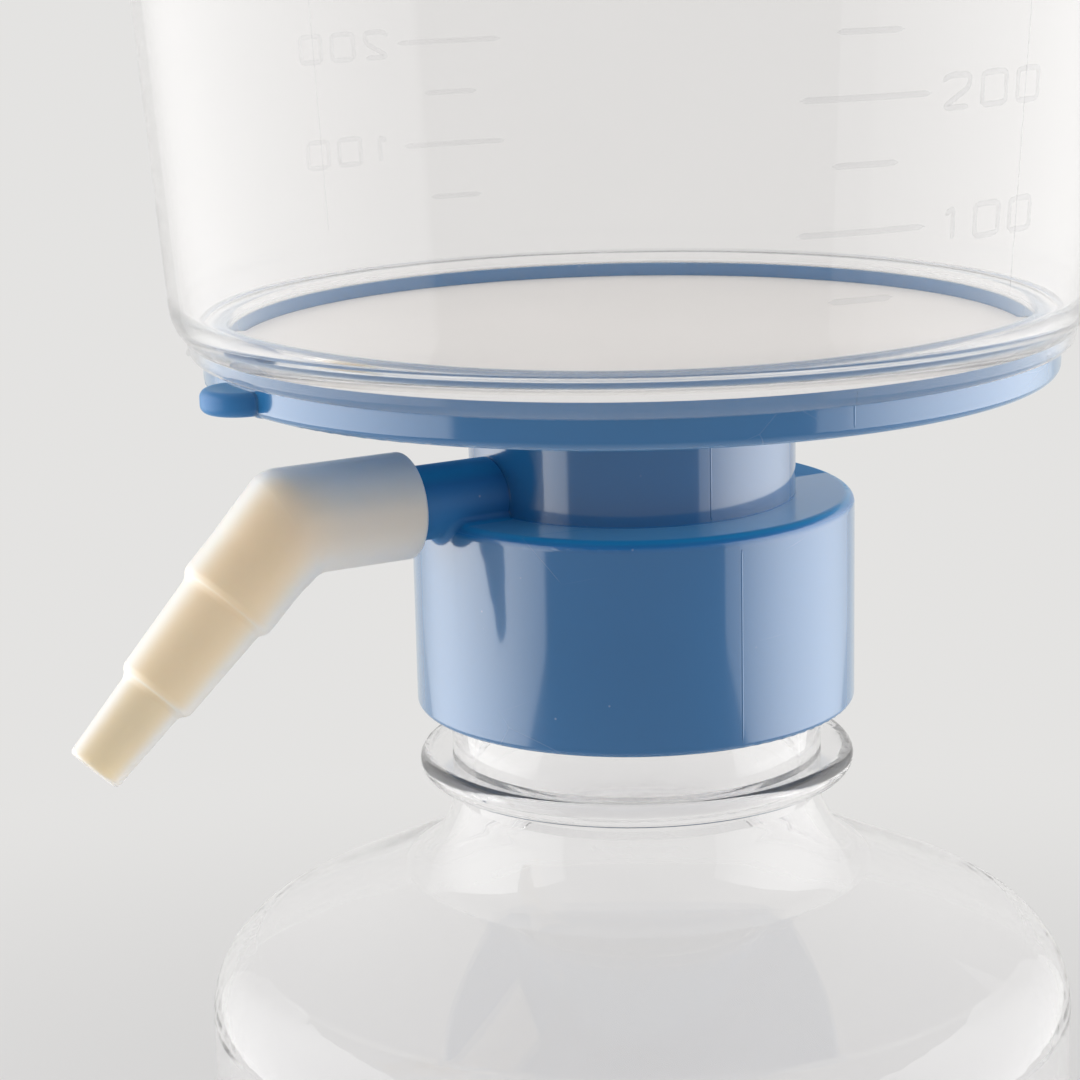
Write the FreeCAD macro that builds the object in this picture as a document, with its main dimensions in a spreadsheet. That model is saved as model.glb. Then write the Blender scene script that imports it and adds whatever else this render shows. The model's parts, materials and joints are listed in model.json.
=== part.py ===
"""Vacuum filtration unit, one litre: a clear funnel welded to a one-piece base with the membrane
seat, the vacuum port and a screw collar, on a clear bottle with a GL 45 neck.

All lengths are millimetres. +Z is up, the bottle stands on z = 0 and its axis is the Z axis.
The vacuum port points along -X. Every piece is a body of revolution about one of three axes
(the bottle's, the port's or the hose nozzle's) with a few added features.
"""
import FreeCAD, Part
import math
import os
import re
import Sketcher

# ---------------------------------------------------------------- driving sizes
SIZES = {
    # bottle
    "body_radius": 50.0,
    "bottle_wall": 1.6,
    "body_height": 137.7,        # where the straight side and the shoulder's cone would meet
    "shoulder_slope": 25.0,      # degrees above the horizontal
    "shoulder_round": 9.0,
    "base_corner": 6.0,
    "standing_width": 12.0,      # from the side to the inner edge of the ring it stands on
    "push_up": 3.5,
    "push_up_slope": 5.0,
    "neck_radius": 21.2,         # root of the GL 45 thread
    "neck_wall": 2.4,
    "neck_flare": 10.0,
    "neck_waist": 8.67,          # from where shoulder and neck would meet to the support ring
    "thread_pitch": 4.0,
    "thread_turns": 1.6,
    "thread_depth": 1.3,
    "thread_root_width": 2.2,
    "thread_crest_width": 1.0,
    "thread_from_lip": 4.0,      # from the lip to the middle of the thread's upper end
    "thread_gap": 0.4,           # radial play between neck and collar
    "lip_round": 0.7,
    "ring_reach": 3.7,           # support ring beyond the neck's root
    "ring_thickness": 2.6,
    "ring_flat": 0.1,            # flat left between the support ring's two roundings
    "ring_below_lip": 28.4,      # from the lip to the underside of the support ring
    # seal between the lip and the collar
    "gasket_thickness": 1.5,
    "gasket_outer_reach": 1.0,   # beyond the neck's root
    "gasket_inner_reach": 1.2,   # inside the neck's bore
    # one-piece base: collar, hub, dish and port
    "collar_wall": 2.1,
    "collar_depth": 21.7,
    "collar_top": 2.0,
    "collar_top_round": 1.2,
    "collar_bottom_round": 0.6,
    "hub_radius": 18.4,
    "hub_wall": 2.0,
    "hub_height": 14.3,
    "rim_radius": 47.5,
    "rim_wall": 2.6,
    "rim_height": 5.2,
    "rim_round": 1.0,
    "seat_depth": 1.8,           # from the rim's top to the membrane's seat
    "seat_width": 2.4,
    "seat_drop": 1.1,            # from the seat to the edge of the drained floor
    "floor_wall": 2.2,
    "floor_fall": 2.1,
    "spout_bore_radius": 3.0,
    "spout_wall": 1.4,
    "spout_length": 21.0,
    "rib_count": 18,
    "rib_thickness": 1.0,
    "rib_start_radius": 6.0,
    "ring_rib_first": 13.0,
    "ring_rib_step": 9.5,
    "ring_rib_count": 3,
    "ring_rib_drop": 0.5,
    "tab_radius": 4.2,
    "tab_thickness": 2.6,
    "tab_lift": 0.3,
    "tab_round": 0.9,
    "port_radius": 4.1,
    "port_bore_radius": 2.6,
    "port_rise": 2.15,           # port axis above the collar's top
    "port_stand_out": 15.5,      # port mouth from the collar's side
    "port_mouth_round": 0.4,
    "port_saddle_round": 0.8,    # where the port runs over the collar's crown
    "bore_overrun": 1.0,         # how far a bore is cut past the face it opens through
    # membrane
    "membrane_thickness": 0.2,
    "membrane_gap": 0.15,
    # funnel
    "funnel_wall": 1.4,
    "funnel_draft": 4.1,         # degrees
    "wall_set_out": 1.9,         # from the base's rim to the funnel's inside, at the ledge's top
    "funnel_height": 123.5,      # rim above the ledge
    "ledge_thickness": 1.4,
    "ledge_reach": 0.0,          # ledge edge inside the dish's wall
    "skirt_gap": 0.1,
    "skirt_wall": 1.5,
    "skirt_depth": 1.9,
    "skirt_round": 1.2,
    "foot_round": 5.4,
    "foot_rise": 1.8,
    "inner_round": 3.8,
    "rim_bead_width": 2.4,
    "rim_bead_height": 2.4,
    "rim_bead_round": 0.8,
    # lid
    "lid_wall": 1.4,
    "lid_gap": 0.4,
    "lid_skirt": 8.0,
    "lid_recess": 2.0,
    "lid_recess_margin": 7.0,
    "lid_round": 1.0,
    # hose adapter
    "adapter_wall": 1.71,
    "adapter_play": 0.05,
    "stop_gap": 0.5,             # from the port's mouth to the socket's end
    "socket_grip": 11.8,         # how far the adapter goes over the port
    "elbow_set_out": 2.0,        # from the port's mouth to the elbow point
    "elbow_turn": 45.0,          # degrees
    "channel_radius": 2.3,
    "land_one_radius": 5.6,
    "land_one_end": 10.9,
    "land_two_radius": 4.9,
    "land_two_end": 22.8,
    "land_two_tip_radius": 4.4,
    "land_three_radius": 3.55,
    "nozzle_length": 33.2,
    "nozzle_tip_radius": 3.1,
    "step_length": 1.0,
    "step_round": 0.35,
    "tip_round": 0.45,
}

# ---------------------------------------------------------------- sizes that follow from them
DERIVED = {
    "slope_rise": "tan(shoulder_slope * 1 deg)",
    "slope_wall": "bottle_wall / cos(shoulder_slope * 1 deg)",
    "cone_height": "(body_radius - neck_radius) * slope_rise",
    "inner_radius": "body_radius - bottle_wall",
    "standing_inner_radius": "body_radius - standing_width",
    "neck_bore_radius": "neck_radius - neck_wall",
    "ring_radius": "neck_radius + ring_reach",
    "inner_body_height": "body_height + bottle_wall * slope_rise - slope_wall",
    "inner_neck_height": "body_height + (body_radius - neck_bore_radius) * slope_rise - slope_wall",
    "ring_bottom": "body_height + cone_height + neck_waist",
    "bottle_height": "ring_bottom + ring_below_lip",
    "ring_top": "ring_bottom + ring_thickness",
    "ring_round": "(ring_thickness - ring_flat) / 2",
    "gasket_outer_radius": "neck_radius + gasket_outer_reach",
    "gasket_inner_radius": "neck_bore_radius - gasket_inner_reach",
    "collar_ceiling": "bottle_height + gasket_thickness",
    "collar_bottom": "collar_ceiling - collar_depth",
    "collar_crown": "collar_ceiling + collar_top",
    "collar_bore_radius": "neck_radius + thread_depth + thread_gap",
    "collar_radius": "collar_bore_radius + collar_wall",
    "thread_rise": "thread_turns * thread_pitch",
    "thread_start": "bottle_height - thread_from_lip - thread_rise",
    "hub_bore_radius": "hub_radius - hub_wall",
    "rim_bottom": "collar_crown + hub_height",
    "rim_top": "rim_bottom + rim_height",
    "dish_radius": "rim_radius - rim_wall",
    "seat_height": "rim_top - seat_depth",
    "seat_inner_radius": "dish_radius - seat_width",
    "floor_edge": "seat_height - seat_drop",
    "floor_centre": "floor_edge - floor_fall",
    "floor_rate": "floor_fall / (seat_inner_radius - spout_bore_radius)",
    "spout_radius": "spout_bore_radius + spout_wall",
    "spout_mouth": "floor_centre - spout_length",
    "port_height": "collar_crown + port_rise",
    "port_root": "hub_radius - hub_wall / 2",
    "port_reach": "collar_radius + port_stand_out",
    "port_bore_start": "port_reach + bore_overrun",
    "port_bore_end": "hub_radius - hub_wall - bore_overrun",
    "ledge_bottom": "rim_top",
    "ledge_top": "ledge_bottom + ledge_thickness",
    "ledge_radius": "dish_radius - ledge_reach",
    "skirt_inner_radius": "rim_radius + skirt_gap",
    "skirt_radius": "skirt_inner_radius + skirt_wall",
    "skirt_bottom": "rim_top - skirt_depth",
    "draft_rate": "tan(funnel_draft * 1 deg)",
    "funnel_inner_radius": "rim_radius + wall_set_out",
    "foot_height": "rim_top + foot_rise",
    "foot_radius": "funnel_inner_radius + funnel_wall + (foot_height - ledge_top) * draft_rate",
    "funnel_top": "ledge_top + funnel_height",
    "mouth_radius": "funnel_inner_radius + funnel_height * draft_rate",
    "bead_radius": "mouth_radius + funnel_wall + rim_bead_width",
    "bead_bottom": "funnel_top - rim_bead_height",
    "under_bead_radius": "mouth_radius + funnel_wall - rim_bead_height * draft_rate",
    "lid_inner_radius": "bead_radius + lid_gap",
    "lid_radius": "lid_inner_radius + lid_wall",
    "lid_top": "funnel_top + lid_wall",
    "lid_recess_radius": "mouth_radius - lid_recess_margin",
    "socket_radius": "port_radius + adapter_play",
    "adapter_radius": "socket_radius + adapter_wall",
    "adapter_inner_end": "port_reach - socket_grip",
    "elbow_reach": "port_reach + elbow_set_out",
    "leg_length": "elbow_reach - adapter_inner_end",
    "socket_stop": "elbow_reach - port_reach - stop_gap",
}

UPRIGHT = FreeCAD.Vector(0, 0, 1)
SIDEWAYS = FreeCAD.Vector(1, 0, 0)
NEAR = 1e-3                      # mm, how closely an edge is found again
SPOTS = 5                        # points looked at along an edge
PARALLEL = 0.99                  # cosine above which two directions count as one
BORE_ERROR = 0.05                # share by which a bore's volume may differ from its cylinder

doc = FreeCAD.newDocument("vacuum_filtration_unit")
sheet = doc.addObject("Spreadsheet::Sheet", "Sizes")
for row, (word, number) in enumerate(SIZES.items(), start=1):
    sheet.set(f"A{row}", word)
    sheet.set(f"B{row}", str(number))
    sheet.setAlias(f"B{row}", word)
doc.recompute()


def formula(text):
    """The text with every size as its cell in the sheet and every derived name written out."""
    def word(match):
        name = match.group(0)
        if name in DERIVED:
            return "(" + formula(DERIVED[name]) + ")"
        return "Sizes." + name if name in SIZES else name
    return re.sub(r"[a-z][a-z_0-9]*", word, text)


def value(text):
    """The number that a formula gives."""
    return float(sheet.evalExpression(formula(text)))


# ---------------------------------------------------------------- helpers
def new_body(label):
    body = doc.addObject("PartDesign::Body", label)
    body.Label = label
    return body


def attach(body, sketch, role):
    plane = next(item for item in body.Origin.OriginFeatures if item.Role == role)
    sketch.AttachmentSupport = [(plane, "")]
    sketch.MapMode = "FlatFace"


def tie(sketch, index, point, texts):
    """Holds one point of a sketch at the two formulas, from the sketch's origin."""
    for axis, text, line in (("X", texts[0], -2), ("Y", texts[1], -1)):
        if text == "0":
            sketch.addConstraint(Sketcher.Constraint("PointOnObject", index, point, line))
            continue
        number = sketch.addConstraint(
            Sketcher.Constraint("Distance" + axis, -1, 1, index, point, value(text)))
        sketch.setExpression(f"Constraints[{number}]", formula(text))


def outline(body, name, corners, role="XZ_Plane"):
    """A closed outline of straight sides through the corners, each a pair of formulas."""
    sketch = body.newObject("Sketcher::SketchObject", name)
    attach(body, sketch, role)
    spots = [FreeCAD.Vector(value(x), value(y), 0) for x, y in corners]
    count = len(spots)
    for i, spot in enumerate(spots):
        sketch.addGeometry(Part.LineSegment(spot, spots[(i + 1) % count]))
    for i, texts in enumerate(corners):
        sketch.addConstraint(Sketcher.Constraint("Coincident", i, 2, (i + 1) % count, 1))
        tie(sketch, i, 1, texts)
    return sketch


def disc(body, name, role, centre, radius):
    """A circle in a sketch, its centre and radius bound to the sheet."""
    sketch = body.newObject("Sketcher::SketchObject", name)
    attach(body, sketch, role)
    spot = FreeCAD.Vector(value(centre[0]), value(centre[1]), 0)
    sketch.addGeometry(Part.Circle(spot, FreeCAD.Vector(0, 0, 1), value(radius)))
    tie(sketch, 0, 3, centre)
    number = sketch.addConstraint(Sketcher.Constraint("Radius", 0, value(radius)))
    sketch.setExpression(f"Constraints[{number}]", formula(radius))
    return sketch


def turn(body, kind, name, sketch, axis="V_Axis"):
    """A full Revolution or Groove of the sketch about one of its own axes."""
    feature = body.newObject("PartDesign::" + kind, name)
    feature.Profile = sketch
    feature.ReferenceAxis = (sketch, [axis])
    feature.Angle = 360
    doc.recompute()
    return feature


def circles(shape):
    """The number, the curve and the edge of every circle or arc of a shape."""
    for i, edge in enumerate(shape.Edges, start=1):
        if not edge.Degenerated and isinstance(edge.Curve, Part.Circle):
            yield i, edge.Curve, edge


def ring_edges(shape, radius, distance):
    """Names of the whole circles of this radius whose centre is this far from the body's origin."""
    return [f"Edge{i}" for i, curve, edge in circles(shape)
            if len(edge.Vertexes) == 1 and abs(curve.Radius - radius) < NEAR
            and abs(curve.Center.Length - distance) < NEAR]


def arcs_at(shape, x, radius, axis):
    """Names of the arcs of this radius with their centre at this X, turned about this direction."""
    return [f"Edge{i}" for i, curve, edge in circles(shape)
            if abs(curve.Center.x - x) < NEAR and abs(curve.Radius - radius) < NEAR
            and abs(curve.Axis.dot(axis)) > PARALLEL]


def saddle_edges(shape, radius, height, reach):
    """Names of the curved edges on a cylinder of this radius along X, further out than the reach."""
    for i, edge in enumerate(shape.Edges, start=1):
        if edge.Degenerated or isinstance(edge.Curve, (Part.Line, Part.Circle)):
            continue
        spots = edge.discretize(SPOTS)
        on_it = all(abs(math.hypot(spot.y, spot.z - height) - radius) < NEAR * SPOTS for spot in spots)
        middle = edge.CenterOfMass
        if on_it and middle.x < 0 and math.hypot(middle.x, middle.y) > reach:
            yield f"Edge{i}"


def round_rings(body, name, size, *rings):
    """Rounds circular edges, each a pair of formulas: its radius and its distance along the axis."""
    base = body.Tip
    names = []
    for radius, distance in rings:
        found = ring_edges(base.Shape, value(radius), value(distance))
        if not found:
            raise ValueError(f"{body.Label} {name}: no edge at {radius}, {distance}")
        names += found
    feature = body.newObject("PartDesign::Fillet", name)
    feature.Base = (base, names)
    feature.setExpression("Radius", formula(size))
    doc.recompute()
    return feature


def screw_thread(body, name, root, inward, height):
    """A right-hand ridge: its section at the height on a wall of radius root, wound up the axis."""
    side = "-1" if inward else "1"
    buried = f"{root} - {side} * thread_gap"
    crest = f"{root} + {side} * thread_depth"
    section = outline(body, name + "_section", [
        (buried, f"{height} - thread_root_width / 2"),
        (root, f"{height} - thread_root_width / 2"),
        (crest, f"{height} - thread_crest_width / 2"),
        (crest, f"{height} + thread_crest_width / 2"),
        (root, f"{height} + thread_root_width / 2"),
        (buried, f"{height} + thread_root_width / 2"),
    ])
    ridge = body.newObject("PartDesign::AdditiveHelix", name)
    ridge.Profile = section
    ridge.ReferenceAxis = (section, ["V_Axis"])
    ridge.Mode = "pitch-height-angle"
    ridge.setExpression("Pitch", formula("thread_pitch"))
    ridge.setExpression("Height", formula("thread_rise"))
    doc.recompute()
    return ridge


# ---------------------------------------------------------------- bottle
def make_bottle():
    body = new_body("bottle")
    section = outline(body, "bottle_section", [
        ("0", "push_up"),
        ("standing_inner_radius - push_up_slope", "push_up"),
        ("standing_inner_radius", "0"),
        ("body_radius", "0"),
        ("body_radius", "body_height"),
        ("neck_radius", "body_height + cone_height"),
        ("neck_radius", "ring_bottom"),
        ("ring_radius", "ring_bottom"),
        ("ring_radius", "ring_top"),
        ("neck_radius", "ring_top"),
        ("neck_radius", "bottle_height"),
        ("neck_bore_radius", "bottle_height"),
        ("neck_bore_radius", "inner_neck_height"),
        ("inner_radius", "inner_body_height"),
        ("inner_radius", "bottle_wall"),
        ("standing_inner_radius", "bottle_wall"),
        ("standing_inner_radius - push_up_slope", "push_up + bottle_wall"),
        ("0", "push_up + bottle_wall"),
    ])
    turn(body, "Revolution", "bottle_shell", section)
    round_rings(body, "shoulder_rounding", "shoulder_round", ("body_radius", "body_height"))
    round_rings(body, "inner_shoulder_rounding", "shoulder_round - bottle_wall",
                ("inner_radius", "inner_body_height"))
    round_rings(body, "flare_rounding", "neck_flare", ("neck_radius", "body_height + cone_height"))
    round_rings(body, "inner_flare_rounding", "neck_flare + bottle_wall",
                ("neck_bore_radius", "inner_neck_height"))
    round_rings(body, "base_rounding", "base_corner", ("body_radius", "0"))
    round_rings(body, "inner_base_rounding", "base_corner - bottle_wall", ("inner_radius", "bottle_wall"))
    round_rings(body, "ring_rounding", "ring_round",
                ("ring_radius", "ring_bottom"), ("ring_radius", "ring_top"))
    round_rings(body, "lip_rounding", "lip_round",
                ("neck_radius", "bottle_height"), ("neck_bore_radius", "bottle_height"))
    screw_thread(body, "neck_thread", "neck_radius", False, "thread_start")
    return body


# ---------------------------------------------------------------- seal
def make_gasket():
    body = new_body("neck_gasket")
    section = outline(body, "gasket_section", [
        ("gasket_inner_radius", "bottle_height"),
        ("gasket_outer_radius", "bottle_height"),
        ("gasket_outer_radius", "collar_ceiling"),
        ("gasket_inner_radius", "collar_ceiling"),
    ])
    turn(body, "Revolution", "gasket_ring", section)
    return body


# ---------------------------------------------------------------- base
def make_base():
    body = new_body("filter_base")

    # finger tab: a rounded disc that the rim is then turned through
    tab = disc(body, "tab_outline", "XY_Plane", ("0", "0"), "tab_radius")
    tab.setExpression(".AttachmentOffset.Base.x", "-1 * " + formula("rim_radius"))
    tab.setExpression(".AttachmentOffset.Base.z", formula("rim_bottom + tab_lift"))
    pad = body.newObject("PartDesign::Pad", "tab")
    pad.Profile = tab
    pad.setExpression("Length", formula("tab_thickness"))
    doc.recompute()
    fillet = body.newObject("PartDesign::Fillet", "tab_rounding")
    fillet.Base = (pad, arcs_at(pad.Shape, -value("rim_radius"), value("tab_radius"), UPRIGHT))
    fillet.setExpression("Radius", formula("tab_round"))
    doc.recompute()

    # collar, hub, dish, rim and drain spout in one turn
    section = outline(body, "base_section", [
        ("spout_bore_radius", "spout_mouth"),
        ("spout_radius", "spout_mouth"),
        ("spout_radius", "floor_centre - floor_wall"),
        ("hub_bore_radius", "floor_centre + (hub_bore_radius - spout_bore_radius) * floor_rate - floor_wall"),
        ("hub_bore_radius", "collar_ceiling"),
        ("collar_bore_radius", "collar_ceiling"),
        ("collar_bore_radius", "collar_bottom"),
        ("collar_radius", "collar_bottom"),
        ("collar_radius", "collar_crown"),
        ("hub_radius", "collar_crown"),
        ("hub_radius", "floor_centre + (hub_radius - spout_bore_radius) * floor_rate - floor_wall"),
        ("seat_inner_radius", "rim_bottom"),
        ("rim_radius", "rim_bottom"),
        ("rim_radius", "rim_top"),
        ("dish_radius", "rim_top"),
        ("dish_radius", "seat_height"),
        ("seat_inner_radius", "seat_height"),
        ("seat_inner_radius", "floor_edge"),
        ("spout_bore_radius", "floor_centre"),
    ])
    turn(body, "Revolution", "base_shell", section)
    round_rings(body, "collar_top_rounding", "collar_top_round", ("collar_radius", "collar_crown"))
    round_rings(body, "collar_bottom_rounding", "collar_bottom_round", ("collar_radius", "collar_bottom"))
    round_rings(body, "rim_rounding", "rim_round", ("rim_radius", "rim_bottom"))

    # the collar's thread runs half a pitch under the neck's
    screw_thread(body, "collar_thread", "collar_bore_radius", True, "thread_start - thread_pitch / 2")

    # ring ribs under the membrane, lower than the radial ones so that the filtrate runs past them
    for i in range(int(value("ring_rib_count"))):
        radius = f"ring_rib_first + ring_rib_step * {i}"
        rib = outline(body, f"ring_rib_section_{i + 1}", [
            (radius, f"floor_centre + ({radius} - spout_bore_radius) * floor_rate - floor_wall / 2"),
            (f"{radius} + rib_thickness",
             f"floor_centre + ({radius} - spout_bore_radius) * floor_rate - floor_wall / 2"),
            (f"{radius} + rib_thickness", "seat_height - ring_rib_drop"),
            (radius, "seat_height - ring_rib_drop"),
        ])
        turn(body, "Revolution", f"ring_rib_{i + 1}", rib)

    # radial ribs, one drawn and the rest patterned about the axis
    rib = outline(body, "radial_rib_section", [
        ("rib_start_radius",
         "floor_centre + (rib_start_radius - spout_bore_radius) * floor_rate - floor_wall / 2"),
        ("seat_inner_radius + seat_width / 2", "floor_edge - floor_wall / 2"),
        ("seat_inner_radius + seat_width / 2", "seat_height"),
        ("rib_start_radius", "seat_height"),
    ])
    pad = body.newObject("PartDesign::Pad", "radial_rib")
    pad.Profile = rib
    pad.SideType = "Symmetric"
    pad.setExpression("Length", formula("rib_thickness"))
    doc.recompute()
    pattern = body.newObject("PartDesign::PolarPattern", "radial_ribs")
    pattern.Originals = [pad]
    pattern.Axis = (next(f for f in body.Origin.OriginFeatures if f.Role == "Z_Axis"), [""])
    pattern.Angle = 360
    pattern.setExpression("Occurrences", formula("rib_count"))
    body.Tip = pattern
    doc.recompute()

    # vacuum port
    port = disc(body, "port_outline", "YZ_Plane", ("0", "port_height"), "port_radius")
    port.setExpression(".AttachmentOffset.Base.z", "-1 * " + formula("port_root"))
    pad = body.newObject("PartDesign::Pad", "port")
    pad.Profile = port
    pad.Reversed = True
    pad.setExpression("Length", formula("port_reach - port_root"))
    doc.recompute()
    mouth = body.newObject("PartDesign::Fillet", "port_mouth_rounding")
    mouth.Base = (pad, arcs_at(pad.Shape, -value("port_reach"), value("port_radius"), SIDEWAYS))
    mouth.setExpression("Radius", formula("port_mouth_round"))
    doc.recompute()
    saddle = body.newObject("PartDesign::Fillet", "port_saddle_rounding")
    over_crown = list(saddle_edges(mouth.Shape, value("port_radius"), value("port_height"),
                                   value("(hub_radius + collar_radius) / 2")))
    if not over_crown:
        raise ValueError("the port doesn't run over the collar's crown")
    saddle.Base = (mouth, over_crown)
    saddle.setExpression("Radius", formula("port_saddle_round"))
    doc.recompute()
    before = body.Tip.Shape.Volume
    bore = disc(body, "port_bore_outline", "YZ_Plane", ("0", "port_height"), "port_bore_radius")
    bore.setExpression(".AttachmentOffset.Base.z", "-1 * " + formula("port_bore_start"))
    pocket = body.newObject("PartDesign::Pocket", "port_bore")
    pocket.Profile = bore
    pocket.Reversed = True
    pocket.setExpression("Length", formula("port_bore_start - port_bore_end"))
    doc.recompute()
    bored = math.pi * value("port_bore_radius ^ 2 * (port_reach - hub_radius + hub_wall)")
    if abs(before - body.Tip.Shape.Volume - bored) > BORE_ERROR * bored:
        raise ValueError("the port's bore is not open right through")
    return body


# ---------------------------------------------------------------- membrane
def make_membrane():
    body = new_body("membrane")
    section = outline(body, "membrane_section", [
        ("0", "seat_height"),
        ("dish_radius - membrane_gap", "seat_height"),
        ("dish_radius - membrane_gap", "seat_height + membrane_thickness"),
        ("0", "seat_height + membrane_thickness"),
    ])
    turn(body, "Revolution", "membrane_disc", section)
    return body


# ---------------------------------------------------------------- funnel
def make_funnel():
    body = new_body("funnel")
    section = outline(body, "funnel_section", [
        ("ledge_radius", "ledge_bottom"),
        ("skirt_inner_radius", "ledge_bottom"),
        ("skirt_inner_radius", "skirt_bottom"),
        ("skirt_radius", "skirt_bottom"),
        ("skirt_radius", "rim_top"),
        ("foot_radius", "foot_height"),
        ("under_bead_radius", "bead_bottom"),
        ("bead_radius", "bead_bottom"),
        ("bead_radius", "funnel_top"),
        ("mouth_radius", "funnel_top"),
        ("funnel_inner_radius", "ledge_top"),
        ("ledge_radius", "ledge_top"),
    ])
    turn(body, "Revolution", "funnel_shell", section)
    round_rings(body, "foot_rounding", "foot_round", ("foot_radius", "foot_height"))
    round_rings(body, "inner_rounding", "inner_round", ("funnel_inner_radius", "ledge_top"))
    round_rings(body, "skirt_rounding", "skirt_round", ("skirt_radius", "skirt_bottom"))
    round_rings(body, "bead_rounding", "rim_bead_round",
                ("bead_radius", "bead_bottom"), ("bead_radius", "funnel_top"))
    return body


# ---------------------------------------------------------------- lid
def make_lid():
    body = new_body("lid")
    section = outline(body, "lid_section", [
        ("0", "funnel_top - lid_recess"),
        ("lid_recess_radius", "funnel_top - lid_recess"),
        ("lid_recess_radius + lid_recess", "funnel_top"),
        ("lid_inner_radius", "funnel_top"),
        ("lid_inner_radius", "funnel_top - lid_skirt"),
        ("lid_radius", "funnel_top - lid_skirt"),
        ("lid_radius", "lid_top"),
        ("lid_recess_radius + lid_recess", "lid_top"),
        ("lid_recess_radius", "lid_top - lid_recess"),
        ("0", "lid_top - lid_recess"),
    ])
    turn(body, "Revolution", "lid_shell", section)
    round_rings(body, "lid_rounding", "lid_round", ("lid_radius", "lid_top"))
    return body


# ---------------------------------------------------------------- hose adapter
def make_adapter():
    body = new_body("hose_adapter")
    body.setExpression(".Placement.Base.x", "-1 * " + formula("elbow_reach"))
    body.setExpression(".Placement.Base.z", formula("port_height"))

    nozzle_turn = FreeCAD.Rotation(UPRIGHT, 180 + value("elbow_turn"))

    def along_nozzle(sketch):
        sketch.AttachmentOffset = FreeCAD.Placement(FreeCAD.Vector(), nozzle_turn)
        sketch.setExpression(".AttachmentOffset.Rotation.Angle", formula("180 + elbow_turn"))

    # outside: a leg about the port, a stepped nozzle at the elbow's turn and a ball between them
    leg = outline(body, "leg_section", [
        ("0", "0"),
        ("leg_length", "0"),
        ("leg_length", "adapter_radius"),
        ("0", "adapter_radius"),
    ])
    turn(body, "Revolution", "leg", leg, "H_Axis")
    nozzle = outline(body, "nozzle_section", [
        ("0", "0"),
        ("nozzle_length", "0"),
        ("nozzle_length", "nozzle_tip_radius"),
        ("land_two_end + step_length", "land_three_radius"),
        ("land_two_end", "land_two_tip_radius"),
        ("land_one_end + step_length", "land_two_radius"),
        ("land_one_end", "land_one_radius"),
        ("adapter_radius", "land_one_radius"),
        ("0", "adapter_radius"),
    ])
    along_nozzle(nozzle)
    turn(body, "Revolution", "nozzle", nozzle, "H_Axis")
    ball = body.newObject("PartDesign::AdditiveSphere", "elbow_ball")
    ball.setExpression("Radius", formula("adapter_radius"))
    doc.recompute()

    round_rings(body, "step_rounding", "step_round",
                ("land_one_radius", "land_one_end"), ("land_two_tip_radius", "land_two_end"))
    round_rings(body, "end_rounding", "tip_round",
                ("nozzle_tip_radius", "nozzle_length"), ("adapter_radius", "leg_length"))

    # inside: the socket that the port fills, and the air channel round the elbow
    solid_volume = body.Tip.Shape.Volume
    socket = outline(body, "socket_section", [
        ("socket_stop", "0"),
        ("leg_length + bore_overrun", "0"),
        ("leg_length + bore_overrun", "socket_radius"),
        ("socket_stop", "socket_radius"),
    ])
    turn(body, "Groove", "socket", socket, "H_Axis")
    channel = outline(body, "leg_channel_section", [
        ("0", "0"),
        ("socket_stop + bore_overrun", "0"),
        ("socket_stop + bore_overrun", "channel_radius"),
        ("0", "channel_radius"),
    ])
    turn(body, "Groove", "leg_channel", channel, "H_Axis")
    channel = outline(body, "nozzle_channel_section", [
        ("0", "0"),
        ("nozzle_length + bore_overrun", "0"),
        ("nozzle_length + bore_overrun", "channel_radius"),
        ("0", "channel_radius"),
    ])
    along_nozzle(channel)
    turn(body, "Groove", "nozzle_channel", channel, "H_Axis")
    ball = body.newObject("PartDesign::SubtractiveSphere", "elbow_channel")
    ball.setExpression("Radius", formula("channel_radius"))
    doc.recompute()
    if solid_volume - body.Tip.Shape.Volume < value("pi * socket_radius ^ 2 * (leg_length - socket_stop)"):
        raise ValueError("the adapter's bores cut too little")
    return body


bodies = [make_bottle(), make_gasket(), make_base(), make_membrane(), make_funnel(), make_lid(),
          make_adapter()]

doc.recompute()
for item in doc.Objects:
    bad = [state for state in item.State if state in ("Invalid", "Error")]
    if bad:
        raise ValueError(f"{item.Label}: {bad}")
os.makedirs("parts", exist_ok=True)
for body in bodies:
    shape = body.Shape
    if shape.isNull() or not shape.isValid():
        raise ValueError(f"{body.Label}: bad shape")
    shape.exportStep(f"parts/{body.Label}.step")
    box = shape.BoundBox
    print(f"{body.Label:14s} {len(shape.Solids)} solid, {shape.Volume / 1000:8.2f} cm3, "
          f"z {box.ZMin:7.2f} to {box.ZMax:7.2f}, x {box.XMin:7.2f} to {box.XMax:7.2f}")
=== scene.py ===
# %% [markdown]
# # A vacuum filtration unit, dressed for the studio
# The real object filters liquids in a laboratory: a clear funnel is welded to a blue base, the base
# screws on a clear bottle, and a cream elbow on the base's port takes the vacuum hose. Its solids
# come ready made. One could model everything again here, but then the looks and the solids would
# drift apart. So the solids stay and get the finish of moulded plastic, and only what a solid
# doesn't carry is added: the graduation, parting lines, gate marks and the soft rounding of the elbow.
# All lengths are metres, +Z is up, and the port points along -X.

# %% Load the solids
import json
import math

import bmesh
import bpy
import numpy as np
from mathutils import Matrix, Vector


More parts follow.
